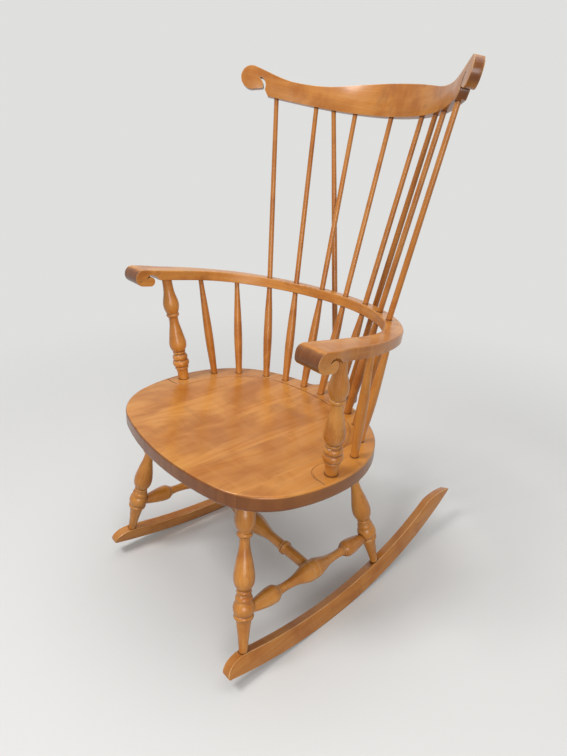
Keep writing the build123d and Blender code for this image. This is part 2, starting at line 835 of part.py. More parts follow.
with BuildPart() as arm_bow:
    extrude(bow_outline.sketch, amount=-bow_thickness)
    bow_upright = Axis(bow_top.origin, bow_top.z_dir)
    fillet(arm_bow.faces().sort_by(bow_upright)[-1].edges(), radius=bow_rounding)
    fillet(arm_bow.faces().sort_by(bow_upright)[0].edges(), radius=bow_rounding)
    add(square_edges.part)
    with BuildSketch(hand_side):
        # waste in front of the half-round nose
        with BuildLine():
            ThreePointArc((nose_radius, 0), (0, -nose_radius), (nose_radius, -knuckle_height))
            Polyline(
                (nose_radius, -knuckle_height),
                (-knuckle_height, -knuckle_height),
                (-knuckle_height, knuckle_height),
                (nose_radius, knuckle_height),
                (nose_radius, 0),
            )
        make_face()
    extrude(amount=across_chair, both=True, mode=Mode.SUBTRACT)
    with BuildSketch(hand_side):
        # cove over the roll
        with BuildLine():
            cove_top = round_roll(roll_radius + cove_gap, 90)
            cove_mouth = round_roll(roll_radius + cove_mouth_gap, cove_mouth_angle)
            ThreePointArc(roll_meets_arm, cove_mouth, cove_top)
            Spline(cove_top, cove_end, tangents=((1, 0), (1, -1)))
            Polyline(
                cove_end,
                (cove_end[0], -knuckle_height),
                (roll_meets_arm[0], -knuckle_height),
                roll_meets_arm,
            )
        make_face()
    extrude(amount=across_chair, both=True, mode=Mode.SUBTRACT)
    for line in numbered_spindles.values():
        way = (line[1] - line[0]).normalized() * 2 * bow_thickness
        middle = crossing(bow_top, line)
        bore(middle - way, middle + way, long_spindle_through + glue_gap)
    for side in sides.values():
        for line in short_spindles.values():
            foot, head = line_on(side, line)
            mouth = crossing(bow_under, (foot, head))
            socket(mouth, foot - head, short_spindle_tip, spindle_bow_depth)
        foot, head = line_on(side, post)
        socket(crossing(bow_under, (foot, head)), foot - head, post_tip, post_bow_depth)
    for head, point in brads:
        bore(point, head + (head - point) / 2, brad_radius + glue_gap)
keep(arm_bow.part, "arm_bow")

# ================================================================ knuckle blocks
with BuildPart() as knuckle_block_left:
    extrude(bow_outline.sketch, amount=-2 * knuckle_height)
    with BuildSketch(hand_side):
        with BuildLine():
            nose_side = nose_radius * sin(radians(45))
            ThreePointArc(
                nose_meets_block,
                (nose_radius - nose_side, -nose_radius - nose_side),
                (nose_radius, -knuckle_height),
            )
            Line((nose_radius, -knuckle_height), (roll_setback, -knuckle_height))
            ThreePointArc(
                (roll_setback, -knuckle_height),
                round_roll(roll_radius, 180),
                round_roll(roll_radius, 90),
            )
            curl = round_roll(roll_radius, curl_angle)
            ThreePointArc(round_roll(roll_radius, 90), curl, roll_meets_arm)
            Line(roll_meets_arm, nose_meets_block)
        make_face()
    extrude(amount=across_chair, mode=Mode.INTERSECT)
    for head, point in brads:
        bore(point, head + (head - point) / 2, brad_radius + glue_gap)
keep(knuckle_block_left.part, "knuckle_block_left")

with BuildPart() as knuckle_block_right:
    mirror(knuckle_block_left.part, about=Plane.YZ)
keep(knuckle_block_right.part, "knuckle_block_right")

with BuildPart() as knuckle_brads:
    for head, point in brads:
        with Locations(Plane(origin=point, z_dir=head - point)):
            Cylinder(brad_radius, brad_length, align=(Align.CENTER, Align.CENTER, Align.MIN))
keep(knuckle_brads.part, "knuckle_brads")

# ================================================================ crest rail
crest_front = Plane(origin=crest_plan.origin, x_dir=(1, 0, 0), z_dir=-crest_plan.y_dir)
seam = crest_line.position_at(crest_seam, position_mode=PositionMode.LENGTH)
crest_rise = crest_height - crest_hollow_height
wave_turn = 2 * atan2(crest_rise, seam.X)
wave_radii = seam.X / sin(wave_turn)  # crown and hollow together
crown_radius = crest_crown_share * wave_radii
beyond = seam.X + crest_thickness

# The ear is flat. Its plane has its origin on the lower edge, level with the ear's tip.
end_way = crest_plan.from_local_coords(crest_line % 1) - crest_plan.origin
ear_plane = Plane(
    origin=on_crest(crest_line.length), x_dir=end_way, z_dir=end_way.cross(crest_plan.z_dir)
)


def round_ear(angle):
    """A point on the round end of the ear."""
    return (
        ear_radius * (cos(radians(angle)) - 1),
        ear_height + ear_radius * sin(radians(angle)),
    )


with BuildPart() as crest_rail:
    with BuildSketch(crest_plan):
        with BuildLine():
            back = draw_crest(crest_thickness / 2)
            front = draw_crest(-crest_thickness / 2)
            Line(back @ 1, front @ 1)
            mirror(about=Plane.YZ)
        make_face()
    extrude(amount=2 * crest_height)
    with BuildSketch(crest_front):
        with BuildLine():
            crown = JernArc((0, crest_height), (1, 0), crown_radius, -degrees(wave_turn))
            hollow_radius = wave_radii - crown_radius
            hollow = JernArc(crown @ 1, crown % 1, hollow_radius, degrees(wave_turn))
            Polyline(hollow @ 1, (beyond, crest_hollow_height), (beyond, 0), (0, 0))
            mirror(about=Plane.YZ)
        make_face()
    extrude(amount=4 * crest_height, both=True, mode=Mode.INTERSECT)
    with BuildSketch(ear_plane) as ear:
        with BuildLine():
            throat = round_ear(ear_throat_angle)
            tip = round_ear((ear_throat_angle + ear_back_angle) / 2)
            back = round_ear(ear_back_angle)
            seam_top = (-crest_end, crest_hollow_height)
            Polyline(seam_top, (-crest_end, 0), (-crest_corner, 0), slit_notch)
            Spline(slit_notch, *slit_back, slit_tip)
            Spline(slit_tip, *slit_front, slit_mouth)
            Spline(slit_mouth, ear_throat, throat)
            ThreePointArc(throat, tip, back)
            Spline(back, *ear_neck, seam_top, tangents=((-1, -ear_neck_slope), (-1, 0)))
        make_face()
    left_ear = extrude(ear.sketch, amount=crest_thickness / 2, both=True)
    mirror(left_ear, about=Plane.YZ)
    for foot, head in numbered_spindles.values():
        socket(head, foot - head, long_spindle_tip, spindle_crest_depth)
    for side in sides.values():
        foot, head = line_on(side, brace)
        socket(head, foot - head, brace_tip, spindle_crest_depth)
keep(crest_rail.part, "crest_rail")

# ================================================================ spindles and arm posts
for number, line in numbered_spindles.items():
    foot, head = line
    under = (crossing(bow_under, line) - foot).length
    over = (crossing(bow_top, line) - foot).length
    lower = stretched(long_lower_turning, under)
    upper = stretched(long_upper_turning, (head - foot).length - over, over)
    through = ("line", over, long_spindle_through)
    piece = spindle(
        line,
        (long_spindle_foot, spindle_seat_depth),
        [*lower, through, *upper],
        (long_spindle_tip, spindle_crest_depth),
    )
    keep(piece, f"long_spindle_{number}")

for hand, side in sides.items():
    for place, line in short_spindles.items():
        foot, head = line_on(side, line)
        mouth = crossing(bow_under, (foot, head))
        piece = spindle(
            (foot, mouth),
            (short_spindle_foot, spindle_seat_depth),
            stretched(short_turning, (mouth - foot).length),
            (short_spindle_tip, spindle_bow_depth),
        )
        keep(piece, f"short_spindle_{place}_{hand}")

    foot, head = line_on(side, post)
    mouth = crossing(bow_under, (foot, head))
    piece = spindle(
        (foot, mouth),
        (post_foot, post_seat_depth),
        stretched(post_turning, (mouth - foot).length),
        (post_tip, post_bow_depth),
    )
    keep(piece, f"arm_post_{hand}")

    foot, head = line_on(side, brace)
    piece = spindle(
        (foot, head),
        (brace_foot, spindle_seat_depth),
        stretched(brace_turning, (head - foot).length),
        (brace_tip, spindle_crest_depth),
    )
    keep(piece, f"brace_spindle_{hand}")
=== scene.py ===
# %% [markdown]
# # A comb-back Windsor rocking chair
# The joiner's work is already done: every wooden piece of this chair comes from the CAD model
# at its real size and in its real place. What is left is the work of the sander, the stainer
# and the photographer. This lesson eases the sawn edges, gives each piece maple whose grain
# runs the way the maker would have laid it, and lights the chair softly in a pale studio.

# %% Bring in the chair
import json
import random
from math import degrees, pi, radians

import bpy
import numpy as np
from mathutils import Matrix, Vector
from mathutils.bvhtree import BVHTree


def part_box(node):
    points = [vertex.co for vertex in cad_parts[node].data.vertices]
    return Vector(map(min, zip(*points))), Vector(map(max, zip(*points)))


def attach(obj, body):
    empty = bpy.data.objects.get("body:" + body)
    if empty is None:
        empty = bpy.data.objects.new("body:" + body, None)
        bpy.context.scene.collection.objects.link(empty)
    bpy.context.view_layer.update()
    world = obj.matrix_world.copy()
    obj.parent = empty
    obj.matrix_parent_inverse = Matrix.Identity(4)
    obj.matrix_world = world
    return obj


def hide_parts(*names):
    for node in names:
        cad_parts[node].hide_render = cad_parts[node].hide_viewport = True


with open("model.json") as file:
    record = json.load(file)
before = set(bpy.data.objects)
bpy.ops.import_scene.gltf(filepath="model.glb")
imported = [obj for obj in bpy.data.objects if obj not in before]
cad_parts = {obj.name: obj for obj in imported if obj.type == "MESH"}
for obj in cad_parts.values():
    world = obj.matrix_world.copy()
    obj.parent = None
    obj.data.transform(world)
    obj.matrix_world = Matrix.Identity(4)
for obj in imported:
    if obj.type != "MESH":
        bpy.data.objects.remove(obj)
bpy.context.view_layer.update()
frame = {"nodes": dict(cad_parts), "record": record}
chair = frame["nodes"]
slots = {row["node"]: row["material_slot"] for row in frame["record"]["subparts"]}
MM = 0.001

# %% [markdown]
# ## Sanded edges
# A sawn board has edges as sharp as a knife, and no chair maker leaves them so: a few strokes
# of sandpaper turn each one into a narrow round that catches the light as a thin bright line.
# The crest rail and the two rockers are such boards, and they come with sharp edges. A Bevel
# node in the material could fake the round, but a real one also shows in the outline and in
# the mesh. The CAD pieces are never changed, so each of the three gets a copy, which then
# stands for the CAD piece.
#
# A CAD piece is made of loose triangles, and a bevel that runs over those falls apart. So the
# copy's triangles are first merged and dissolved into the flat faces that they stand for.

# %% Copies that can be worked on
SANDING = {
    "crest_rail": 1.6 * MM,
    "rocker_left": 1.5 * MM,
    "rocker_right": 1.5 * MM,
}
SAME_POINT = 0.001 * MM
STILL_FLAT = radians(0.3)


def pick_only(piece):
    """Select one object and nothing else."""
    bpy.ops.object.select_all(action="DESELECT")
    piece.select_set(True)
    bpy.context.view_layer.objects.active = piece


def solid_copy(node, name):
    """A copy of a CAD piece with its triangles merged into whole faces."""
    piece = bpy.data.objects.new(name, node.data.copy())
    bpy.context.scene.collection.objects.link(piece)
    pick_only(piece)
    bpy.ops.object.mode_set(mode="EDIT")
    bpy.ops.mesh.select_all(action="SELECT")
    bpy.ops.mesh.remove_doubles(threshold=SAME_POINT)
    bpy.ops.mesh.dissolve_limited(angle_limit=STILL_FLAT)
    bpy.ops.object.mode_set(mode="OBJECT")
    print(name, "triangles:", len(node.data.polygons), "faces:", len(piece.data.polygons))
    return piece


sanded = {name: solid_copy(chair[name], "sanded_" + name) for name in SANDING}

# %% [markdown]
# ## Which edges to sand
# An edge that lies against another piece, such as the rim of a socket, stays as it is: sanding
# there would open the joint. To pick the others by hand would be slow and easy to get wrong,
# so they are found by measuring. A search tree of all the other pieces' surfaces gives the
# distance from any point to its nearest neighbour. Each sharp edge whose ends and middle lie
# clear gets a bevel weight of 1.

# %% Weigh the edges
SHARP = radians(50)
CLEAR = 0.6 * MM


def surface_of(nodes):
    """One search tree of the surfaces of several pieces."""
    points = []
    faces = []
    for node in nodes:
        start = len(points)
        points += [corner.co for corner in node.data.vertices]
        faces += [[start + index for index in face.vertices] for face in node.data.polygons]
    return BVHTree.FromPolygons(points, faces)


def weigh_edges(mesh, neighbours):
    """Give a bevel weight to the sharp edges that lie clear, and count them."""
    touching = surface_of(neighbours)
    normals = {}
    for face in mesh.polygons:
        for key in face.edge_keys:
            normals.setdefault(key, []).append(face.normal)
    weights = mesh.attributes.new("bevel_weight_edge", "FLOAT", "EDGE")
    count = 0
    for edge in mesh.edges:
        sides = normals[tuple(sorted(edge.vertices))]
        if len(sides) < 2 or sides[0].angle(sides[1]) < SHARP:
            continue
        start, end = (mesh.vertices[index].co for index in edge.vertices)
        spots = (start, end, (start + end) / 2)
        if min(touching.find_nearest(spot)[3] for spot in spots) > CLEAR:
            weights.data[edge.index].value = 1
            count += 1
    return count


for name, piece in sanded.items():
    others = [node for other, node in chair.items() if other != name]
    print(piece.name, "edges to sand:", weigh_edges(piece.data, others))

# %% [markdown]
# ## The sanding
# A Bevel modifier that is limited by weight rounds exactly those edges. Three segments are
# enough for so narrow a round. For a moment the bevel gives its new faces a second material,
# which tells them apart. They are marked in an attribute called eased, so that the finish can
# make them paler, partly as hands wear them and partly as a painted highlight along the round,
# and then they go back to the first material.

# %% Round the edges
ROUND_SEGMENTS = 3
SMOOTH_BELOW = radians(35)


def sand(piece, width):
    """Round the weighted edges of a piece, and mark the new faces in an attribute."""
    pick_only(piece)
    mesh = piece.data
    bevel = piece.modifiers.new("sanding", "BEVEL")
    bevel.limit_method = "WEIGHT"
    bevel.width = width
    bevel.segments = ROUND_SEGMENTS
    # Two empty slots, so that the new faces can take the second.
    mesh.materials.append(None)
    mesh.materials.append(None)
    bevel.material = 1
    bpy.ops.object.modifier_apply(modifier=bevel.name)
    rounds = mesh.attributes.new("eased", "FLOAT", "FACE")
    for face in mesh.polygons:
        rounds.data[face.index].value = face.material_index
        face.material_index = 0
    bpy.ops.object.shade_smooth_by_angle(angle=SMOOTH_BELOW)
    print(piece.name, "faces after sanding:", len(mesh.polygons))


for name, piece in sanded.items():
    sand(piece, SANDING[name])
    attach(piece, "root")
    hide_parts(name)
wood_pieces = {name: sanded.get(name, node) for name, node in chair.items()}

# %% [markdown]
# ## How the nodes are written
# The wood pattern takes about a hundred nodes. They could be laid out by hand in the shader
# editor, but then nobody could read why each is there. So a few small helpers add them: a
# node, a sum, a product, a smooth step, a stretched noise and a mix of two colours. Each input
# takes either a number or the output of another node.

# %% Helpers that add nodes
def add(tree, kind, inputs=None, **options):
    """Add a node, set its options, and set or join its inputs."""
    node = tree.nodes.new("ShaderNode" + kind)
    for option, value in options.items():
        setattr(node, option, value)
    for socket, value in (inputs or {}).items():
        if isinstance(value, bpy.types.NodeSocket):
            tree.links.new(value, node.inputs[socket])
        else:
            node.inputs[socket].default_value = value
    return node


def calc(tree, operation, *values):
    """Add a Math node on the values."""
    return add(tree, "Math", dict(enumerate(values)), operation=operation).outputs[0]


def vector(tree, operation, inputs):
    """Add a Vector Math node, and return its vector."""
    return add(tree, "VectorMath", inputs, operation=operation).outputs[0]


print("helpers:", ", ".join(helper.__name__ for helper in (add, calc, vector)))


# %% Helpers for sums
def product(tree, first, *others):
    """All the values multiplied."""
    for value in others:
        first = calc(tree, "MULTIPLY", first, value)
    return first


def remainder(tree, share):
    """What is left of 1 when a share is taken away."""
    return calc(tree, "SUBTRACT", 1.0, share)


def step(tree, value, low, high):
    """A smooth step from 0 to 1 while the value goes from low to high. Low may be the greater
    of the two: then the step goes up while the value goes down."""
    inputs = {"Value": value, "From Min": low, "From Max": high}
    return add(tree, "MapRange", inputs, interpolation_type="SMOOTHSTEP").outputs[0]


print("helpers:", ", ".join(helper.__name__ for helper in (product, remainder, step)))

# %% Helpers for patterns and colours
COLOUR_A, COLOUR_B, MIXED = 6, 7, 2  # the colour sockets of a Mix node


def noise(tree, point, scale, detail, distortion=0.0):
    """Noise around 0.5. Scale is how often it repeats in a millimetre along x, y and the
    grain, so a small number there draws the pattern out."""
    stretched = add(tree, "Mapping", {"Vector": point, "Scale": scale}).outputs[0]
    inputs = {"Vector": stretched, "Scale": 1.0, "Detail": detail, "Distortion": distortion}
    return add(tree, "TexNoise", inputs).outputs[0]


def tint(tree, amount, below, above):
    """Mix two colours by an amount."""
    inputs = {0: amount, COLOUR_A: below, COLOUR_B: above}
    return add(tree, "Mix", inputs, data_type="RGBA").outputs[MIXED]


print("helpers:", ", ".join(helper.__name__ for helper in (noise, tint)))

# %% [markdown]
# ## Stained maple
# Wood is not a picture wrapped round a piece but a solid that the piece was cut from. So the
# pattern is made in space: growth rings lie round a pith like a bundle of thin-walled pipes,
# and the piece is cut out of them. Where the cut runs nearly along a ring it spreads into the
# long loops that joiners call cathedrals, with no extra work.
#
# The whole is one node group, which every wooden piece shares. It takes a point in millimetres
# whose z runs along the grain. Its other inputs say how much end grain shows there (on the seat
# also painted shade on faces that look down), how much stain the piece took, where hands hold
# it, how pale its edges are made by wear and a painted highlight, and where an edge was eased.

# %% The node group
maple = bpy.data.node_groups.new("stained_maple", "ShaderNodeTree")
maple.interface.new_socket("Point", in_out="INPUT", socket_type="NodeSocketVector")
for socket in ("End grain", "Stain", "Grip", "Pale edges", "Eased"):
    maple.interface.new_socket(socket, in_out="INPUT", socket_type="NodeSocketFloat")
for socket, kind in (("Colour", "Color"), ("Roughness", "Float"), ("Height", "Float")):
    maple.interface.new_socket(socket, in_out="OUTPUT", socket_type="NodeSocket" + kind)
given = maple.nodes.new("NodeGroupInput").outputs
result = maple.nodes.new("NodeGroupOutput").inputs
point = given["Point"]
print("sockets of the group:", len(maple.interface.items_tree))

# %% [markdown]
# ## Growth rings
# A tree adds one ring a year, pale in spring and darker towards autumn, with a sudden stop in
# winter. The distance from the pith, divided by the ring's width, counts the years, and what
# is left after the whole years says how late in the year the wood grew. A slow noise pushes
# the pith to and fro, because no tree grows quite straight. Maple's rings are faint, and in
# places they hardly show.

# %% The growth rings
RING_WIDTH = 3.4
SWAY = 26.0
BOW_OF_TREE = (0.014, 0.014, 0.003)
CROOK_OF_TREE = (0.011, 0.017, 0.004)
SHOWING = (0.09, 0.09, 0.0)
AUTUMN = (0.35, 0.9)  # the part of the year in which the wood turns dark
WINTER = (0.93, 1.0)


def wander(start, scale, distortion):
    """Push a coordinate to and fro by a slow noise."""
    slow = calc(maple, "SUBTRACT", noise(maple, point, scale, 2.0, distortion), 0.5)
    return calc(maple, "MULTIPLY_ADD", slow, SWAY, start)


x, y, _ = add(maple, "SeparateXYZ", {0: point}).outputs
ring_x = wander(x, BOW_OF_TREE, 0.0)
ring_y = wander(y, CROOK_OF_TREE, 0.4)
from_pith = add(maple, "CombineXYZ", {0: ring_x, 1: ring_y}).outputs[0]
distance = add(maple, "VectorMath", {0: from_pith}, operation="LENGTH").outputs[1]
season = calc(maple, "FRACT", calc(maple, "DIVIDE", distance, RING_WIDTH))
autumn = step(maple, season, *AUTUMN)
before_winter = remainder(maple, step(maple, season, *WINTER))
showing = step(maple, noise(maple, from_pith, SHOWING, 2.0), 0.35, 0.65)
rings = product(maple, autumn, before_winter, showing)
print("a growth ring every", RING_WIDTH, "mm")

# %% [markdown]
# ## What else shows in maple
# Most of maple's character comes from patterns finer or broader than its rings: fibres and
# darker streaks along the grain, short ray flecks, bands across it that shimmer, and blotches,
# clouds and smudges where the stain went in unevenly or old hands left their mark. Each is a
# noise with its own length and width, so they stand in one table.

# %% Fibres, shimmer and blotches
PATTERNS = {  # how often it repeats in a millimetre, its detail and its distortion
    "fibre": ((0.75, 0.75, 0.016), 3.0, 0.0),
    "streak": ((0.16, 0.16, 0.0045), 3.0, 0.3),
    "fleck": ((1.3, 1.3, 0.09), 1.0, 0.0),
    "shimmer": ((0.022, 0.022, 0.075), 1.0, 0.8),
    "blotch": ((0.018, 0.018, 0.013), 3.0, 0.6),
    "cloud": ((0.0085, 0.0085, 0.0065), 2.0, 1.0),
    "smudge": ((0.013, 0.013, 0.019), 3.0, 1.2),
}
pattern = {name: noise(maple, point, *recipe) for name, recipe in PATTERNS.items()}
for name, (scale, _, _) in PATTERNS.items():
    print(name, "about", round(1 / scale[0]), "mm wide and", round(1 / scale[2]), "mm long")

# %% [markdown]
# ## The colours
# Stained maple has no one colour. It could be painted as a ramp from light to dark, but the
# stain, the smudges and the grain change it in different ways. So it starts from a pale and an
# amber streak, and each pattern then lays a thin veil of its own colour over it, as a finisher
# works in layers. The piece's own stain comes on top, and the brown of hands after it.

# %% Layers of colour
PALE = (0.66, 0.305, 0.072, 1)
AMBER = (0.56, 0.195, 0.019, 1)
RUSSET = (0.35, 0.098, 0.007, 1)
UMBER = (0.075, 0.026, 0.008, 1)
SMUDGED = (0.22, 0.1, 0.036, 1)
HANDLED = (0.23, 0.085, 0.018, 1)
# A veil's pattern, the values at which it begins and is full, its strength and its colour.
STAIN_VEILS = (
    ("cloud", 0.44, 0.66, 0.62, RUSSET),
    ("cloud", 0.47, 0.3, 0.55, PALE),
    ("blotch", 0.47, 0.68, 0.66, RUSSET),
    ("smudge", 0.56, 0.74, 0.42, SMUDGED),
)
RING_STRENGTH = 0.3
GRAIN_VEILS = (
    ("fibre", 0.42, 0.75, 0.14, RUSSET),
    ("fleck", 0.66, 0.74, 0.25, UMBER),
    ("shimmer", 0.45, 0.75, 0.2, PALE),
)


def veiled(wood, veils):
    """Lay one thin colour after another over the wood."""
    for name, begins, full, strength, colour in veils:
        amount = product(maple, step(maple, pattern[name], begins, full), strength)
        wood = tint(maple, amount, wood, colour)
    return wood


wood = tint(maple, step(maple, pattern["streak"], 0.1, 0.9), AMBER, PALE)
wood = veiled(wood, STAIN_VEILS)
wood = tint(maple, product(maple, rings, RING_STRENGTH), wood, RUSSET)
wood = veiled(wood, GRAIN_VEILS)
wood = tint(maple, given["Stain"], wood, RUSSET)
wood = tint(maple, given["Grip"], wood, HANDLED)
print("veils of colour:", len(STAIN_VEILS) + len(GRAIN_VEILS) + 1)

# %% [markdown]
# ## End grain
# Where wood is cut across, its fibres stand open like straws. They drink the stain, so the end
# of a board or the flank of a turned bead is darker than its side. A second material on the
# end faces would stop with a hard line. Here the group is told how much a face looks along the
# grain, and the colour follows that smoothly, a little unevenly, in rays.

# %% End grain
END_STAIN = (0.135, 0.033, 0.003, 1)
CUT_ACROSS = (0.35, 0.85)  # how much a face looks along the grain, from side to end
RAYS = (0.14, 0.01, 0.0)
BETWEEN_RAYS, RAY_ADDS = 0.78, 0.14
rays = step(maple, noise(maple, point, RAYS, 3.0), 0.25, 0.75)
drinks = calc(maple, "MULTIPLY_ADD", rays, RAY_ADDS, BETWEEN_RAYS)
end_grain = product(maple, step(maple, given["End grain"], *CUT_ACROSS), drinks)
wood = tint(maple, end_grain, wood, END_STAIN)
print("rays in the end grain about", round(1 / RAYS[0]), "mm wide")

# %% [markdown]
# ## Dust, grime and painted shade
# Old polish and dust stay where a cloth does not reach: in the grooves of a turning and where
# two pieces meet. Shade falls in the same places, so the brown laid there is painted shade as
# well as dust. They could be painted in by hand on thirty pieces. An Ambient Occlusion node
# finds such places by itself, because other surfaces close by shut them in. A wide one gives
# the soft brown round a joint, and a narrow one the dark line in the bottom of a groove, each
# partly dirt and partly painted shade.

# %% Dust and painted shade in the nooks, grime and painted shade in the creases
NOOK = 10 * MM
CREASE = 3.5 * MM
RAYS_SENT = 8
DUST_AND_SHADE_RANGE = (0.1, 0.9)  # how open a place is, from full of dust and painted shade to free of them
GRIME_AND_SHADE_RANGE = (0.45, 0.95)
DUST_AND_SHADE_STRENGTH = 0.65
GRIME_AND_SHADE_STRENGTH = 0.9
# The brown of dust, also laid as painted shade round joints and in nooks.
DUST_AND_SHADE = (0.17, 0.055, 0.012, 1)


def openness(reach):
    """1 where nothing is within reach of a place, and near 0 deep in a corner."""
    return add(maple, "AmbientOcclusion", {"Distance": reach}, samples=RAYS_SENT).outputs[1]


nooks = openness(NOOK)
dust_and_shade = remainder(maple, step(maple, nooks, *DUST_AND_SHADE_RANGE))
grime_and_shade = remainder(maple, step(maple, openness(CREASE), *GRIME_AND_SHADE_RANGE))
# Dust and painted shade in the nooks, grime and painted shade in the creases.
wood = tint(maple, product(maple, dust_and_shade, DUST_AND_SHADE_STRENGTH), wood, DUST_AND_SHADE)
wood = tint(maple, product(maple, grime_and_shade, GRIME_AND_SHADE_STRENGTH), wood, UMBER)
print("dust reaches", round(NOOK / MM), "mm and grime", CREASE / MM, "mm from a corner")

# %% [markdown]
# ## Rubbed edges and painted highlights
# Hands and trousers rub the stain off the edges, and the pale wood shows through. The same pale
# line also stands for the highlight that a round edge catches, so it is partly wear and partly
# a painted highlight. A Bevel node compares the face's own direction with a rounded one: where
# the two differ, there is an edge. Only edges that look up are made pale: nobody rubs those
# that look at the floor, and no highlight is painted there. The edges that were sanded for real
# are already round, so their attribute marks them instead. Corners that are shut in stay dark,
# and a noise makes the pale line uneven.

# %% Wear and painted highlights on the edges
RUBBED_AND_HIGHLIT = (0.86, 0.57, 0.27, 1)
PALE_EDGE_WIDTH = 2.8 * MM
ONE_FACE = (0.88, 0.999)  # how well the two directions agree, from an edge to a plain face
LOOKS_UP = (-0.6, -0.1)  # how far a face looks up, from an edge never made pale to one made fully pale
OPEN = (0.6, 0.9)
PATCHES = (0.05, 0.05, 0.02)
LEAST_PALE_EDGE, MORE_PALE_EDGE = 0.2, 0.65
rounded = add(maple, "Bevel", {"Radius": PALE_EDGE_WIDTH}, samples=6).outputs[0]
flat = add(maple, "NewGeometry").outputs["Normal"]
agree = add(maple, "VectorMath", {0: rounded, 1: flat}, operation="DOT_PRODUCT").outputs[1]
edge = remainder(maple, step(maple, agree, *ONE_FACE))
# Only edges that look up are made pale: they are the rubbed ones, and where a painted highlight
# goes.
upper = step(maple, add(maple, "SeparateXYZ", {0: rounded}).outputs[2], *LOOKS_UP)
edge = product(maple, edge, upper, given["Pale edges"])
edge = calc(maple, "MAXIMUM", edge, given["Eased"])
patchy = step(maple, noise(maple, point, PATCHES, 3.0), 0.3, 0.65)
uneven = calc(maple, "MULTIPLY_ADD", patchy, MORE_PALE_EDGE, LEAST_PALE_EDGE)
worn_and_highlit = product(maple, edge, step(maple, nooks, *OPEN), uneven)
# The pale colour on the edges is partly wear and partly a painted highlight.
wood = tint(maple, worn_and_highlit, wood, RUBBED_AND_HIGHLIT)
maple.links.new(wood, result["Colour"])
print("wear reaches", PALE_EDGE_WIDTH / MM, "mm from an edge")

# %% [markdown]
# ## Gloss and relief
# The wood under the lacquer is not evenly smooth. Blotches are duller, and so are the shut-in
# places where dust and painted shade lie, and the fibres stand up a little. These are too small
# to model, so they go into the roughness and into a height, which a Bump node will read. A slow
# ripple is what the plane and the scraper left.

# %% Gloss and relief
ROUGHNESS = 0.27
DULLER = ((pattern["blotch"], 0.16), (dust_and_shade, 0.2), (pattern["fibre"], 0.06))
SCRAPED = (0.11, 0.11, 0.05)
SCRAPED_HEIGHT, FIBRE_HEIGHT, RING_DEPTH = 0.5, 0.25, 0.06
rough = ROUGHNESS
for where, much in DULLER:
    rough = calc(maple, "MULTIPLY_ADD", where, much, rough)
maple.links.new(rough, result["Roughness"])
ripple = noise(maple, point, SCRAPED, 1.0)
relief = product(maple, pattern["fibre"], FIBRE_HEIGHT)
relief = calc(maple, "MULTIPLY_ADD", ripple, SCRAPED_HEIGHT, relief)
relief = calc(maple, "SUBTRACT", relief, product(maple, rings, RING_DEPTH))
maple.links.new(relief, result["Height"])
print("maple nodes:", len(maple.nodes))

# %% [markdown]
# ## Where hands hold the arms
# The nose of each arm is where a sitter's hands rest and push. The stain there is brown and
# patchy, and the edges are not pale but dark with wear. The place is known: the front of the
# arms, on faces that look forward. So it is found from the point and the face's direction, and
# not painted.

# %% The noses of the arms
NOSE = (-0.215, -0.235)  # along y in metres, where the nose begins and where it is full
FORWARD = (-0.15, -0.6)  # how far a face looks forward, where that begins and is full
HAND_PATCHES = (0.08, 0.08, 0.03)
LEAST_GRIP, MORE_GRIP = 0.15, 0.6


def hold(tree, wood, spot, coordinates, pale_edges):
    """Darken the nose of an arm in patches, and make no edge pale there."""
    y = add(tree, "SeparateXYZ", {0: coordinates["Object"]}).outputs[1]
    ahead = add(tree, "SeparateXYZ", {0: coordinates["Normal"]}).outputs[1]
    nose = product(tree, step(tree, y, *NOSE), step(tree, ahead, *FORWARD))
    patches = step(tree, noise(tree, spot, HAND_PATCHES, 3.0), 0.3, 0.6)
    grip = product(tree, nose, calc(tree, "MULTIPLY_ADD", patches, MORE_GRIP, LEAST_GRIP))
    tree.links.new(grip, wood.inputs["Grip"])
    elsewhere = calc(tree, "MULTIPLY_ADD", nose, -pale_edges, pale_edges)
    tree.links.new(elsewhere, wood.inputs["Pale edges"])


print("the noses begin at y =", NOSE[0], "m")

# %% [markdown]
# ## The finish of one piece
# Each piece gets a material of its own, because each was cut from its own place in its own
# board. The material finds where a point lies in the board, hands it to the maple group, and
# joins the result to a Principled shader. The satin lacquer is the shader's coat: a thin clear
# film, smoother than the wood below. Its numbers are the same all over, so they are set on the
# shader itself. The bump starts from a Bevel node's normal, which softens the last tiny edges.

# %% Lacquered wood
LACQUER = {"Coat Weight": 0.5, "Coat Roughness": 0.2, "Coat IOR": 1.45, "IOR": 1.33}
BUMP = {"Strength": 0.35, "Distance": 0.4 * MM}


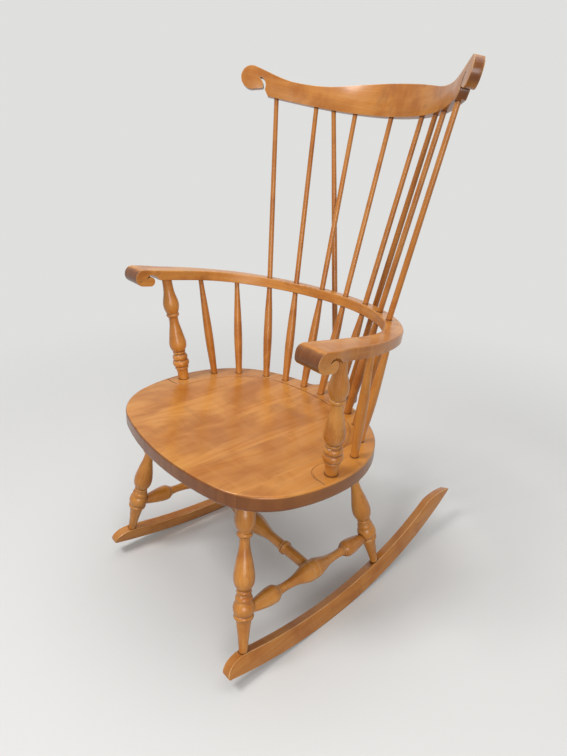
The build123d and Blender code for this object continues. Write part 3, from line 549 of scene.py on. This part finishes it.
def lacquered(name, place, stain=0.0, pale_edges=1.0, held=False):
    """A material of lacquered maple. Place is a function that says where a point lies in the
    board and how much of the end grain shows there."""
    finish = bpy.data.materials.new(name)
    finish.use_nodes = True
    tree = finish.node_tree
    shader = tree.nodes["Principled BSDF"]
    for socket, value in LACQUER.items():
        shader.inputs[socket].default_value = value
    coordinates = add(tree, "TexCoord").outputs
    spot, end = place(tree, coordinates["Object"], coordinates["Normal"])
    eased = add(tree, "Attribute", attribute_name="eased").outputs["Fac"]
    own = {"Point": spot, "End grain": end, "Stain": stain, "Pale edges": pale_edges, "Eased": eased}
    wood = add(tree, "Group", node_tree=maple)
    for socket, value in own.items():
        if isinstance(value, float):
            wood.inputs[socket].default_value = value
        else:
            tree.links.new(value, wood.inputs[socket])
    if held:
        hold(tree, wood, spot, coordinates, pale_edges)
    soft = add(tree, "Bevel", {"Radius": 0.8 * MM}, samples=4).outputs[0]
    relief = {"Height": wood.outputs["Height"], "Normal": soft, **BUMP}
    bump = add(tree, "Bump", relief).outputs[0]
    tree.links.new(wood.outputs["Colour"], shader.inputs["Base Color"])
    tree.links.new(wood.outputs["Roughness"], shader.inputs["Roughness"])
    tree.links.new(bump, shader.inputs["Normal"])
    return finish


def dress(piece, finish):
    """Give a piece one material."""
    piece.data.materials.clear()
    piece.data.materials.append(finish)


print("lacquer:", LACQUER)

# %% [markdown]
# ## Straight grain
# A turner splits a blank along its fibres, so the grain of a leg or a spindle runs straight
# from end to end. The longest direction of the piece's points gives that axis. The rockers are
# sawn from a board with the grain along their length, which the same rule finds. Where the
# pith of the tree lay is a matter of luck, so each piece draws its own place for it, from its
# name, which gives the same chair each time.

# %% A place in a straight board
PITH = ((18, 60), (-40, 40), (-400, 400))  # millimetres to the piece, across, deep and along


def in_millimetres(tree, spot):
    """A point in metres, turned into millimetres."""
    return vector(tree, "SCALE", {0: spot, 3: 1 / MM})


def straight(piece, seed, thirst):
    """A place function for a piece with its grain along its longest direction. Thirst is how
    strongly its end grain drinks the stain."""
    points = np.array([corner.co for corner in piece.data.vertices])
    centre = Vector((points.max(0) + points.min(0)) / 2)
    spread = np.cov((points - points.mean(0)).T)
    axes = np.linalg.eigh(spread)[1]
    grain = Vector(axes[:, 2])
    side = Vector(axes[:, 0])
    turn = Matrix((side, grain.cross(side), grain))
    luck = random.Random(seed)
    pith = Vector([luck.uniform(*reach) for reach in PITH])
    shift = pith - (turn @ centre) / MM

    def place(tree, spot, normal):
        turned = {"Vector": spot, "Rotation": turn.to_euler()}
        board = in_millimetres(tree, add(tree, "Mapping", turned).outputs[0])
        facing = {0: normal, 1: grain * thirst}
        along = add(tree, "VectorMath", facing, operation="DOT_PRODUCT").outputs[1]
        return vector(tree, "ADD", {0: board, 1: shift}), calc(tree, "ABSOLUTE", along)

    return place


print("the pith lies", PITH[0][0], "to", PITH[0][1], "mm to one side of a piece")

# %% [markdown]
# ## The straight-grained pieces
# Each kind of piece drank the stain differently: the slender spindles are darker than the
# stout legs. The stain could be chosen for each of the pieces by name, but kinds are fewer. A
# small table gives each kind its own amount, and what is not in it gets none. The rockers'
# ends took less stain than the ends of the turned pieces.

# %% Dress the turned pieces and the rockers
STAINS = {
    "long_spindle": 0.36,
    "brace_spindle": 0.5,
    "short_spindle": 0.25,
    "leg": 0.05,
    "rocker": 0.34,
}
THIRST = {"turned_wood": 0.75, "rocker_wood": 0.45}
straight_pieces = [name for name, slot in slots.items() if slot in THIRST]
for name in straight_pieces:
    stain = next((amount for kind, amount in STAINS.items() if name.startswith(kind)), 0.0)
    board = straight(wood_pieces[name], name, THIRST[slots[name]])
    dress(wood_pieces[name], lacquered(name + "_maple", board, stain))
print("straight-grained pieces:", len(straight_pieces))

# %% [markdown]
# ## Bent grain
# The arm bow and the crest are steamed and bent, so their fibres follow the curve. The pattern
# has to bend with them. A point's angle round the middle of the bend, times the bend's radius,
# says how far along the board it lies, and its distance from the middle says how deep. Past
# the end of the bend the angle is held, and the board runs on straight.

# %% The two bends
# A bend's middle and radius in metres, how far it leans back and how far round it reaches.
BOW_BEND = {
    "middle": (0, -0.118, 0.668),
    "lean": radians(9.3),
    "radius": 0.262,
    "reach": pi / 2,
}
CREST_BEND = {
    "middle": (0, -0.049, 1.069),
    "lean": radians(15.3),
    "radius": 0.29,
    "reach": radians(44.3),
}
for name, bend in (("bow", BOW_BEND), ("crest", CREST_BEND)):
    print("bent part of the", name, round(2 * bend["radius"] * bend["reach"], 3), "m long")


# %% A place in a bent board
def along_bend(tree, x, y, sine, cosine):
    """How much of a flat vector runs along the bend, where that has turned by an angle."""
    return calc(tree, "SUBTRACT", product(tree, x, cosine), product(tree, y, sine))


def from_middle(tree, x, y, sine, cosine):
    """How much of a flat vector runs away from the middle of the bend."""
    return calc(tree, "ADD", product(tree, x, sine), product(tree, y, cosine))


def bent(middle, lean, radius, reach, pith):
    """A place function for a board bent round an upright axis through middle, where lean is
    how far the board tips back and reach is the angle at which its straight ends begin."""
    unlean = Matrix.Rotation(lean, 3, "X")
    origin = unlean @ Vector(middle)

    def place(tree, spot, normal):
        upright = {"Vector": spot, "Rotation": unlean.to_euler(), "Location": -origin}
        board = in_millimetres(tree, add(tree, "Mapping", upright).outputs[0])
        x, y, z = add(tree, "SeparateXYZ", {0: board}).outputs
        angle = calc(tree, "MINIMUM", calc(tree, "ARCTAN2", x, y), reach)
        angle = calc(tree, "MAXIMUM", angle, -reach)
        turned = calc(tree, "SINE", angle), calc(tree, "COSINE", angle)
        deep = from_middle(tree, x, y, *turned)
        past = along_bend(tree, x, y, *turned)
        along = calc(tree, "MULTIPLY_ADD", angle, radius / MM, past)
        straightened = add(tree, "CombineXYZ", {0: deep, 1: z, 2: along}).outputs[0]
        facing = add(tree, "Mapping", {"Vector": normal, "Rotation": unlean.to_euler()})
        nx, ny, _ = add(tree, "SeparateXYZ", {0: facing.outputs[0]}).outputs
        end = calc(tree, "ABSOLUTE", along_bend(tree, nx, ny, *turned))
        return vector(tree, "ADD", {0: straightened, 1: pith}), end

    return place


print("the crest's straight ends begin", round(degrees(CREST_BEND["reach"]), 1), "degrees round")

# %% [markdown]
# ## The bent pieces
# The knuckle blocks are glued under the ends of the bow, so they take the bow's bend, but each
# comes from another place in the tree. Their edges lie at the glue line, where nothing rubs
# them. The crest took more stain than the bow and is not held by its ends.

# %% Dress the bow, the knuckles and the crest
# A piece's bend, where its pith lay, its stain, how pale its edges are made by wear and painted
# highlight, and if it is held.
BENT_BOARDS = {
    "arm_bow": (BOW_BEND, (-225, 30, 0), 0.0, 1.0, True),
    "knuckle_block_left": (BOW_BEND, (-240, -55, 170), 0.0, 0.0, True),
    "knuckle_block_right": (BOW_BEND, (-290, -40, 90), 0.0, 0.0, True),
    "crest_rail": (CREST_BEND, (-240, 45, 60), 0.25, 1.0, False),
}
for name, (bend, pith, *habits) in BENT_BOARDS.items():
    board = bent(pith=pith, **bend)
    dress(wood_pieces[name], lacquered(name + "_maple", board, *habits))
print("bent pieces:", len(BENT_BOARDS))

# %% [markdown]
# ## The seat's boards
# No tree gives a clear maple plank over half a metre wide and dry enough to stay flat, so the
# seat is glued up from narrower boards, with the grain from front to back. Each board has its
# own rings and its own tone. A point's place across the seat says which board it is in, and a
# White Noise node turns the board's number into luck. The boards are sawn flat, so their rings
# show wide: the pattern is stretched to twice its size.
#
# The front and the back of the rim are end grain. The sides of the rim and the underside are
# made as dark, and a face is darker the more it looks down: partly stain, to match, and partly
# painted shade.

# %% A place in the seat
BOARD = 118.0
FIRST_JOINT = 31.0  # millimetres from the middle, towards the sitter's right
SEAT_LEVEL = 408.0
STRETCH = 0.5
PITH_SPREAD = (90, 60, 900)
PITH_START = (-45, -140, -450)
RIM_SHARE, UP_TAKES = 0.75, 0.8  # the dark of an upright side, stain and painted shade, and what a top face loses


def in_seat(tree, spot, normal):
    """Where a point lies in its board, and how dark it is: end grain, and on the sides and
    underside stain and painted shade.
    """
    x, y, z = add(tree, "SeparateXYZ", {0: in_millimetres(tree, spot)}).outputs
    from_joint = calc(tree, "ADD", x, FIRST_JOINT)
    number = calc(tree, "FLOOR", calc(tree, "DIVIDE", from_joint, BOARD))
    luck = add(tree, "TexWhiteNoise", {"W": number}, noise_dimensions="1D").outputs["Color"]
    pith = vector(tree, "MULTIPLY_ADD", {0: luck, 1: PITH_SPREAD, 2: PITH_START})
    across = calc(tree, "MULTIPLY_ADD", number, -BOARD, x)
    level = calc(tree, "SUBTRACT", z, SEAT_LEVEL)
    board = add(tree, "CombineXYZ", {0: across, 1: level, 2: y}).outputs[0]
    wide = vector(tree, "SCALE", {0: vector(tree, "ADD", {0: board, 1: pith}), 3: STRETCH})
    _, ahead, up = add(tree, "SeparateXYZ", {0: normal}).outputs
    # Faces that look down get more of the end-grain colour: painted shade as well as stain.
    rim_stain_and_shade = calc(tree, "MULTIPLY_ADD", up, -UP_TAKES, RIM_SHARE)
    return wide, calc(tree, "MAXIMUM", calc(tree, "ABSOLUTE", ahead), rim_stain_and_shade)


# How pale the seat's edges are made: a little wear and painted highlight.
SEAT_PALE_EDGES = 0.1
dress(wood_pieces["seat"], lacquered("seat_maple", in_seat, pale_edges=SEAT_PALE_EDGES))
seat_low, seat_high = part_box("seat")
print("seat:", round((seat_high.x - seat_low.x) / MM), "mm wide, in boards of", BOARD, "mm")

# %% [markdown]
# ## The brads
# Two headless nails hold each knuckle block while the glue sets. All that shows is a small
# dark dot of steel, a little rusty, so its colour wanders between iron and brown. They are too
# small for a pattern in layers, and one fine noise drives both the colour and the roughness.

# %% Dull steel
IRON = (0.10, 0.085, 0.075, 1)
RUST = (0.16, 0.07, 0.035, 1)
RUST_SCALE = 900.0  # repeats in a metre
brad_steel = bpy.data.materials.new("brad_steel")
brad_steel.use_nodes = True
tree = brad_steel.node_tree
metal = tree.nodes["Principled BSDF"].inputs
metal["Metallic"].default_value = 0.85
place = add(tree, "TexCoord").outputs["Object"]
rust = add(tree, "TexNoise", {"Vector": place, "Scale": RUST_SCALE}).outputs[0]
tree.links.new(tint(tree, rust, IRON, RUST), metal["Base Color"])
tree.links.new(calc(tree, "MULTIPLY_ADD", rust, 0.3, 0.35), metal["Roughness"])
dress(chair["knuckle_brads"], brad_steel)
print("rust spots about", round(1 / RUST_SCALE / MM, 1), "mm wide")

# %% [markdown]
# ## The floor
# The chair stands on a pale floor that fades into an equally pale room, so no horizon cuts
# through the picture. A curved backdrop would do the same but shows its bend from behind. Here
# the fade is in the floor's material: near the chair it is plain matt paper, which takes the
# shadow, and further out it turns into the room's own brightness. Only rays from the camera,
# and those in reflections, see that brightness. All others meet a darker floor, so that little
# light comes from below, as over a carpet.

# %% Paper floor
ROOM = (0.74, 0.74, 0.73, 1)
PAPER = (0.75, 0.75, 0.74, 1)
CARPET = (0.16, 0.155, 0.15, 1)
FADE = (0.5, 1.9)  # metres from the middle, where the fade begins and where it is full
FLOOR_RADIUS = 14


def seen_directly(tree):
    """1 for rays that the viewer follows to the floor or the room, 0 for rays of light."""
    rays = add(tree, "LightPath").outputs
    seen = calc(tree, "MAXIMUM", rays["Is Camera Ray"], rays["Is Glossy Ray"])
    return calc(tree, "MAXIMUM", seen, rays["Is Transmission Ray"])


bpy.ops.object.select_all(action="DESELECT")
bpy.ops.mesh.primitive_circle_add(vertices=96, radius=FLOOR_RADIUS, fill_type="NGON")
floor = bpy.context.active_object
floor.name = "floor"
floor_paper = bpy.data.materials.new("floor_paper")
floor_paper.use_nodes = True
tree = floor_paper.node_tree
matt = tree.nodes["Principled BSDF"]
matt.inputs["Roughness"].default_value = 0.9
matt.inputs["Specular IOR Level"].default_value = 0.1
seen = seen_directly(tree)
tree.links.new(tint(tree, seen, CARPET, PAPER), matt.inputs["Base Color"])
place = add(tree, "TexCoord").outputs["Object"]
away = add(tree, "VectorMath", {0: place}, operation="LENGTH").outputs[1]
fade = product(tree, step(tree, away, *FADE), seen)
glow = add(tree, "Emission", {"Color": ROOM})
fading = add(tree, "MixShader", {0: fade, 1: matt.outputs[0], 2: glow.outputs[0]})
tree.links.new(fading.outputs[0], tree.nodes["Material Output"].inputs["Surface"])
dress(floor, floor_paper)
print("floor fades from", FADE[0], "to", FADE[1], "m")

# %% [markdown]
# ## The room
# Light also comes from all round, softly, as from pale walls. The world gives it, a little
# warm and weak. What the camera sees of the world has to match the floor, so the same trick
# as on the floor parts the two.

# %% The room
SKY = (1.0, 0.985, 0.96, 1)
SKY_STRENGTH = 0.35
world = bpy.data.worlds.new("room")
world.use_nodes = True
tree = world.node_tree
sky = tree.nodes["Background"]
sky.inputs["Color"].default_value = SKY
sky.inputs["Strength"].default_value = SKY_STRENGTH
wall = add(tree, "Background", {"Color": ROOM})
both = add(tree, "MixShader", {0: seen_directly(tree), 1: sky.outputs[0], 2: wall.outputs[0]})
tree.links.new(both.outputs[0], tree.nodes["World Output"].inputs["Surface"])
bpy.context.scene.world = world
print("light from all round:", SKY_STRENGTH)

# %% [markdown]
# ## The lights
# Three soft boxes do the rest. The first is big and hangs over the chair as ceiling lights do,
# so that the seat is bright and upright faces are deeper in tone. The second is smaller and
# hangs high in front, and draws a streak of light down each turning. The third is low in front
# on the sitter's left and reaches under the seat. Bare lamps would give hard shadows and
# pinpoint highlights. These are large, so the shadows have soft borders and the lacquer shows
# broad highlights.

# %% Soft boxes
AIM = Vector((0, -0.05, 0.55))
SOFT_BOXES = {  # place in metres, width in metres, watts
    "top_box": ((0.1, 0.3, 3.1), 2.6, 32.0),
    "front_box": ((-0.4, -1.9, 3.3), 0.9, 50.0),
    "side_box": ((2.6, -1.9, 1.3), 1.5, 50.0),
}
for name, (place, size, watts) in SOFT_BOXES.items():
    bpy.ops.object.light_add(type="AREA", location=place)
    box = bpy.context.active_object
    box.name = name
    box.data.size = size
    box.data.energy = watts
    box.rotation_euler = (AIM - box.location).to_track_quat("-Z", "Y").to_euler()
    print(name, "hangs", round((AIM - box.location).length, 2), "m from the chair")

# %% [markdown]
# ## The camera
# The camera is held a metre above the floor, in front of the chair and on the sitter's left,
# and looks down on the seat. Its lens is given by the focal length in pixels of the picture.
# It could be aimed at a point with a constraint, but three angles also hold its slight roll.

# %% Camera
FOCAL_PIXELS = 576.99
LONG_SIDE_PIXELS = 756
EYE = (0.8618, -0.7856, 1.0142)
yaw, pitch, roll = radians(49.405), radians(-25.397), radians(1.341)
bpy.ops.object.camera_add(location=EYE)
camera = bpy.context.active_object
aim = Matrix.Rotation(yaw, 4, "Z") @ Matrix.Rotation(pi / 2 + pitch, 4, "X")
camera.rotation_euler = (aim @ Matrix.Rotation(roll, 4, "Z")).to_euler()
camera.data.sensor_width = 36
camera.data.lens = FOCAL_PIXELS * camera.data.sensor_width / LONG_SIDE_PIXELS
bpy.context.scene.camera = camera
bpy.context.scene.view_settings.view_transform = "Standard"
print("lens:", round(camera.data.lens, 2), "mm")
